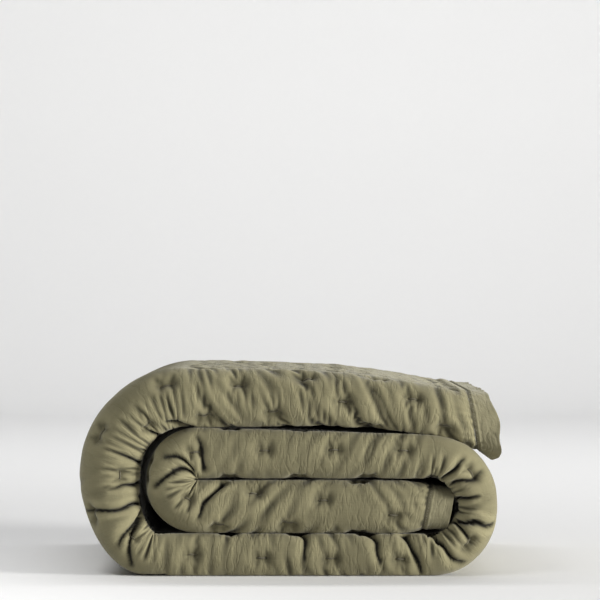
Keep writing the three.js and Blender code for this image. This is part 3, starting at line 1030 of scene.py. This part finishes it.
def tack_run(s, u, lift=0.9, side=0.0):
    """The thread of a tack, on the settled fabric."""
    along = np.linspace(-TACK_LENGTH / 2, TACK_LENGTH / 2, 7)
    on_front = u < FRONT_REACH
    grid, ss, uu = (fine, fine_columns, fine_rows) if on_front else (coarse, columns, visible_rows)
    j = np.interp(s + along, ss, np.arange(ss.size))
    i = np.interp(u + side, uu, np.arange(uu.size))
    i0, j0 = int(i), j.astype(int).clip(0, ss.size - 2)
    fi, fj = i - i0, (j - j0)[:, None]
    low = grid[i0][j0] * (1 - fj) + grid[i0][j0 + 1] * fj
    high = grid[i0 + 1][j0] * (1 - fj) + grid[i0 + 1][j0 + 1] * fj
    spot = low * (1 - fi) + high * fi
    way = np.cross(grid[i0][j0 + 1] - grid[i0][j0], grid[i0 + 1][j0] - grid[i0][j0])
    way /= np.linalg.norm(way, axis=1)[:, None]
    dome = np.sin(np.linspace(0, PI, 7)) * 0.7 + lift - 0.8
    return spot + way * dome[:, None]


# ---- materials

LINEN = (0.180, 0.164, 0.094)
HEM_LINEN = (0.222, 0.204, 0.124)
THREAD = (0.12, 0.108, 0.066)
TOPSTITCH = (0.20, 0.182, 0.12)
FIBRE = (0.78, 0.76, 0.70)
SATIN = (0.80, 0.78, 0.70)
PAPER = ((0.87, 0.87, 0.87), (0.875, 0.875, 0.873))
SHEEN = (0.95, 0.93, 0.82, 1.0)

# The linen's yarns and fine wrinkles, in metres, how strongly painted shading darkens its hollows and
# lightens its crests, and the least brightness that painted shade leaves.
SLUB_LENGTH = 0.045
YARN_WIDTH = 0.0011
WEAVE_PITCH = 0.0016
WRINKLE_WIDTH = 0.017
WRINKLE_LENGTH = 0.06
PAINTED_SHADING_STRENGTH = 0.78
PAINTED_SHADE_DARKEST = 0.06


class Nodes:
    """A small helper that adds and links a material's nodes."""

    def __init__(self, name):
        self.material = bpy.data.materials.new(name)
        self.material.use_nodes = True
        self.tree = self.material.node_tree
        self.shader = self.tree.nodes["Principled BSDF"]

    def add(self, kind, inputs=(), **settings):
        node = self.tree.nodes.new(kind)
        for key, value in settings.items():
            setattr(node, key, value)
        for socket, value in dict(inputs).items():
            if isinstance(value, bpy.types.NodeSocket):
                self.tree.links.new(value, node.inputs[socket])
            else:
                node.inputs[socket].default_value = value
        return node

    def math(self, operation, a, b=0.0):
        return self.add("ShaderNodeMath", {0: a, 1: b}, operation=operation).outputs[0]

    def scaled(self, vector, scale):
        return self.add("ShaderNodeVectorMath", {0: vector, 1: scale}, operation="MULTIPLY").outputs[0]

    def noise(self, vector, scale=1.0, detail=2.0, roughness=0.5):
        inputs = {"Vector": vector, "Scale": scale, "Detail": detail, "Roughness": roughness}
        return self.add("ShaderNodeTexNoise", inputs).outputs["Fac"]

    def ramp(self, value, stops):
        node = self.add("ShaderNodeValToRGB", {"Fac": value})
        elements = node.color_ramp.elements
        while len(elements) < len(stops):
            elements.new(0.5)
        for element, (place, colour) in zip(elements, stops):
            element.position = place
            element.color = (*colour, 1.0)
        return node.outputs["Color"]

    def bump(self, height, strength, distance, under=None):
        inputs = {"Height": height, "Strength": strength, "Distance": distance}
        if under is not None:
            inputs["Normal"] = under
        return self.add("ShaderNodeBump", inputs).outputs["Normal"]

    def set(self, **inputs):
        for key, value in inputs.items():
            socket = self.shader.inputs[key.replace("_", " ")]
            if isinstance(value, bpy.types.NodeSocket):
                self.tree.links.new(value, socket)
            else:
                socket.default_value = value


def shade(colour, share):
    return tuple(c * share for c in colour)


def linen_relief(n, cloth, yarn, coarse):
    """Fine wrinkles, a rumple and the plain weave, each over the one before."""
    split = n.add("ShaderNodeSeparateXYZ", {"Vector": cloth})
    over = n.math("SINE", n.math("MULTIPLY", split.outputs["X"], 2 * PI / WEAVE_PITCH))
    under = n.math("SINE", n.math("MULTIPLY", split.outputs["Y"], 2 * PI / WEAVE_PITCH))
    weave = n.math("MULTIPLY", over, under)
    threads_up = n.math("ADD", n.math("MULTIPLY", weave, 0.35), n.math("MULTIPLY", yarn, 1.3))
    rumple = n.noise(cloth, 150.0, 3.0, 0.6)
    fold = n.noise(n.scaled(cloth, (1 / WRINKLE_WIDTH, 1 / WRINKLE_LENGTH, 1.0)), detail=3.0, roughness=0.55)
    from_valley = n.math("ABSOLUTE", n.math("SUBTRACT", fold, 0.5))
    patch = n.noise(cloth, 9.0, 1.0, 0.5)
    depth = n.math("MULTIPLY", n.math("MINIMUM", from_valley, 0.06), n.math("MULTIPLY", patch, 16.0))
    normal = n.bump(depth, 0.6, 0.0016)
    normal = n.bump(rumple, 0.35, 0.0012 * coarse, normal)
    return n.bump(threads_up, 0.35, 0.00025, normal)


def linen(name, colour, size, coarse=1.0):
    """Washed linen: uneven yarns both ways, a plain weave, and soft mottling, darkened by painted shade and
    lightened by painted light from a point attribute.
    """
    n = Nodes(name)
    cloth = n.scaled(n.add("ShaderNodeUVMap", uv_map="OFBake").outputs["UV"], (size[0], size[1], 1.0))
    warp = n.noise(n.scaled(cloth, (1 / SLUB_LENGTH, 1 / YARN_WIDTH, 1.0)), detail=1.5)
    weft = n.noise(n.scaled(cloth, (1 / YARN_WIDTH, 1 / SLUB_LENGTH, 1.0)), detail=1.5)
    yarn = n.math("ADD", warp, weft)
    mottle = n.noise(cloth, 22.0, 4.0, 0.6)
    wash = n.noise(cloth, 4.0, 2.0, 0.5)
    soft = n.math("MULTIPLY", n.math("ADD", mottle, wash), 0.47)
    tone = n.math("ADD", n.math("MULTIPLY", yarn, 0.20), soft)
    stops = [(0.42, shade(colour, 0.80)), (0.66, colour), (0.92, shade(colour, 1.22))]
    # Painted shading: the colour is darkened in hollows, creases, crevices and along hem seams, and
    # lightened on crests.
    deep = n.add("ShaderNodeAttribute", attribute_name="painted_shading").outputs["Fac"]
    light = n.math("MAXIMUM", n.math("SUBTRACT", 1.0, n.math("MULTIPLY", deep, PAINTED_SHADING_STRENGTH)), PAINTED_SHADE_DARKEST)
    n.set(Base_Color=n.scaled(n.ramp(tone, stops), light), Normal=linen_relief(n, cloth, yarn, coarse))
    n.set(Roughness=0.92, Sheen_Weight=0.25, Sheen_Roughness=0.45, Sheen_Tint=SHEEN, Specular_IOR_Level=0.25)
    return n.material


def plain(name, colour, roughness, grain, height, variation=0.12):
    """A fibrous material with mottled colour and a fine bump."""
    n = Nodes(name)
    place = n.add("ShaderNodeTexCoord").outputs["Object"]
    mottle = n.noise(place, grain, 3.0, 0.6)
    stops = [(0.3, shade(colour, 1 - variation)), (0.7, shade(colour, 1 + variation))]
    normal = n.bump(n.noise(place, grain * 2.5, 3.0, 0.6), 0.5, height)
    n.set(Base_Color=n.ramp(mottle, stops), Normal=normal, Roughness=roughness, Sheen_Weight=0.2)
    return n.material


def stage_material():
    n = Nodes("studio_paper")
    place = n.add("ShaderNodeTexCoord").outputs["Object"]
    grain = n.ramp(n.noise(place, 40.0), [(0.3, PAPER[0]), (0.7, PAPER[1])])
    n.set(Base_Color=grain, Roughness=0.95, Specular_IOR_Level=0.1)
    return n.material


# ---- assembly

face_piece, face_size = face_fabric()
back_piece, back_size = back_fabric()
filling = batting()


def show(piece, material, slot, *nodes):
    piece.data.materials.append(material)
    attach(piece, "root")
    if nodes:
        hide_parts(*nodes)
    return piece


show(face_piece, linen("linen_face", LINEN, face_size), "linen", "face_cover")
show(back_piece, linen("linen_back", LINEN, back_size), "linen", "back_cover")
show(filling, plain("batting_fibre", FIBRE, 1.0, 120.0, 0.001), "batting", "filling")


def outer_bulge(a):
    """The outer end's edge reaches furthest along the middle of the front fold."""
    reach = -3 + 9 * np.exp(-((a - 4) / 34) ** 2) + 4 * np.exp(-((a + 40) / 16) ** 2)
    return reach - 9 * ramp((-a - 50) / 50)


def inner_bulge(a):
    return 0 * a + 1.0 * np.cos(a / 20)


stitch_cotton = plain("topstitch_cotton", TOPSTITCH, 0.8, 2500.0, 0.0002)
tack_cotton = plain("tack_cotton", THREAD, 0.8, 2500.0, 0.0002)

hem_pieces = {
    "inner_end": end_hem("inner_end_hem_fabric", HEM_WIDTH, 0.0, 11, inner_bulge),
    "outer_end": end_hem("outer_end_hem_fabric", route.length - HEM_WIDTH, route.length, 21, outer_bulge),
    "lower_side": side_hem("lower_side_hem_fabric", LOWER_EDGE, -3 * PLY, -1.0, 31),
    "upper_side": side_hem("upper_side_hem_fabric", UPPER_EDGE, -PLY, 1.0, 41),
}
for side, (piece, middle, facing, size) in hem_pieces.items():
    show(piece, linen("linen_" + side + "_hem", HEM_LINEN, size, 1.6), "hem_linen", side + "_hem")
    stitched = round(STITCH_IN / HEM_WIDTH * (HEM_STEPS if "end" in side else HEM_STEPS // 2))
    if side == "inner_end":
        runs = stitch_runs(middle[:, -1 - stitched], facing[:, -1 - stitched])
    elif side == "outer_end":
        runs = stitch_runs(middle[:, stitched], facing[:, stitched])
    else:
        runs = stitch_runs(middle[stitched], facing[stitched])
    row = threads(side + "_topstitch_thread", runs, TOPSTITCH_RADIUS)
    show(row, stitch_cotton, "topstitch_thread", side + "_topstitch")

# Each tack on the front fold stands for its CAD node; the others are one piece.
middles = {}
for node in sorted(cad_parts):
    if node.startswith("tack_"):
        low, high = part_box(node)
        middles[node] = np.array((low + high) / 2) / MM
left = {tack: tack_run(*tack)[3] for tack in tacks}
for node, middle in middles.items():
    nearest = min(left, key=lambda tack: np.linalg.norm(left[tack] - middle))
    del left[nearest]
    run = [tack_run(*nearest, side=-0.55), tack_run(*nearest, lift=1.5), tack_run(*nearest, side=0.55)]
    show(threads(node + "_thread", run, TACK_RADIUS), tack_cotton, "tack_thread", node)
rest = [tack_run(*tack) for tack in left if abs(tack[1]) < FRONT_REACH - 2 or tack[1] > 0]
show(threads("other_tack_threads", rest, OTHER_TACK_RADIUS), tack_cotton, "tack_thread")


def care_label():
    """A blank woven label, hanging from the upper side hem."""
    low, high = (np.array(corner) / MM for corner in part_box("care_label"))
    x = np.linspace(low[0], high[0], 15)
    y = np.linspace(low[1] - 2, high[1], 13)
    across, reach = np.meshgrid(x, y)
    height = (low[2] + high[2]) / 2 + 1.2 * waves(across, reach, 30, 40, 77) * ramp((reach - y[0]) / 12)
    height -= 3.5 * ramp((reach - y[0] - 6) / 24)
    sheet = np.stack([across, reach, height], -1)
    thick = np.array((0.0, 0.0, 0.25))
    return closed(sheet - thick, sheet + thick, "label_tape", sharp=True)


satin = plain("label_satin", SATIN, 0.6, 1200.0, 0.0001, 0.05)
label = show(care_label(), satin, "label_tape", "care_label")


# ---- stage, light and camera

FRAME_WIDTH = 0.876
DISTANCE = 4.0
EYE_X = 0.01606 + SHIFT_X * MM
EYE_Z = 0.4044
FRONT_Y = cad_box[0][1]
SENSOR = 36.0

# The studio, in metres: where its floor starts and ends, the curve behind it, and its extent.
FLOOR_FRONT = -6.0
FLOOR_BACK = 5.2
CURVE = 1.2
BACKDROP_TOP = 6.0
SIDE = 9.0

KEY_POWER = 305.0
WASH_POWER = 20.0
BACKDROP_POWER = 184.0
WORLD_STRENGTH = 0.14


def studio():
    """A pale floor that curves up into a backdrop."""
    profile = [(FLOOR_FRONT, 0.0), (FLOOR_BACK, 0.0)]
    for turn in np.linspace(0.1, PI / 2, 14):
        profile.append((FLOOR_BACK + CURVE * math.sin(turn), CURVE - CURVE * math.cos(turn)))
    profile.append((FLOOR_BACK + CURVE, BACKDROP_TOP))
    points = np.array([[(x, y, z) for x in (-SIDE, SIDE)] for y, z in profile]) / MM
    sheet = mesh_object("studio_backdrop", points, [grid_faces(len(profile), 2)])
    sheet.data.materials.append(stage_material())


def area_light(name, place, target, size, power, colour=(1, 1, 1)):
    data = bpy.data.lights.new(name, "AREA")
    data.shape = "RECTANGLE"
    data.size, data.size_y = size
    data.energy = power
    data.color = colour
    lamp = linked(name, data)
    lamp.location = place
    lamp.rotation_euler = (Vector(target) - Vector(place)).to_track_quat("-Z", "Y").to_euler()
    return lamp


def lighting():
    area_light("key", (4.15, -1.75, 0.8), (0, -0.1, 0.12), (1.2, 1.2), KEY_POWER, (1.0, 0.99, 0.965))
    wash = area_light("floor_wash", (-1.2, -1.5, 2.6), (-1.2, -1.5, 0.0), (1.2, 1.2), WASH_POWER)
    wash.data.spread = math.radians(80)
    area_light("backdrop", (0, 1.7, 4.4), (0, 4.5, 0.35), (7.0, 1.2), BACKDROP_POWER)
    world = bpy.data.worlds.new("studio_world")
    world.use_nodes = True
    sky = world.node_tree.nodes["Background"]
    sky.inputs["Color"].default_value = (0.98, 0.985, 1.0, 1)
    sky.inputs["Strength"].default_value = WORLD_STRENGTH
    bpy.context.scene.world = world


def camera():
    data = bpy.data.cameras.new("camera")
    data.sensor_width = SENSOR
    data.lens = SENSOR * DISTANCE / FRAME_WIDTH
    data.clip_end = 50.0
    eye = linked("camera", data)
    eye.location = (EYE_X, FRONT_Y - DISTANCE, EYE_Z)
    eye.rotation_euler = (PI / 2, 0, 0)
    bpy.context.scene.camera = eye


studio()
lighting()
camera()
bpy.context.scene.view_settings.view_transform = "Standard"
